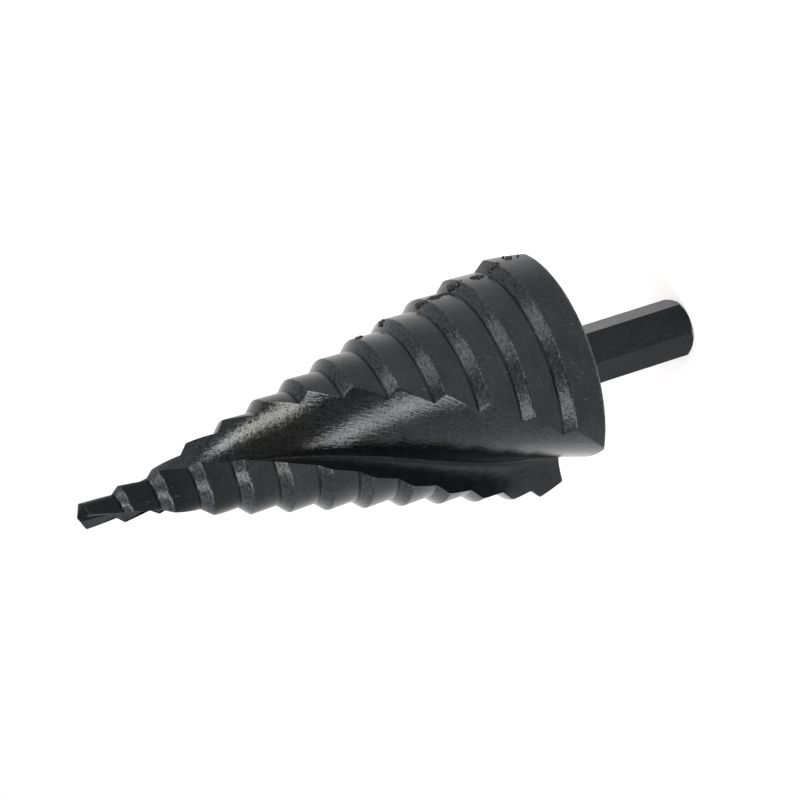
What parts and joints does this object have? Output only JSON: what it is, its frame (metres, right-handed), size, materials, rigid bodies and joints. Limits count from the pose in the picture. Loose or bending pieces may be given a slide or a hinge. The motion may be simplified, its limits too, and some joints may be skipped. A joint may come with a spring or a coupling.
{
  "type": "step drill",
  "caption": "Stepped conical drill bit with spiral flutes and a hexagonal shank, for cutting holes of graded sizes in sheet metal.",
  "frame": {"origin": "middle of the shank's end face, on the drill's axis", "axes": "+Z along the axis from the shank's end to the point; +X square to one flat of the hexagonal shank"},
  "size_m": [0.039, 0.0362, 0.1038],
  "materials": {
    "black_oxide_steel": "satin dark oxide over fine machining marks"
  },
  "bodies": {
    "root": {"step_drill": "black_oxide_steel"}
  },
  "joints": []
}
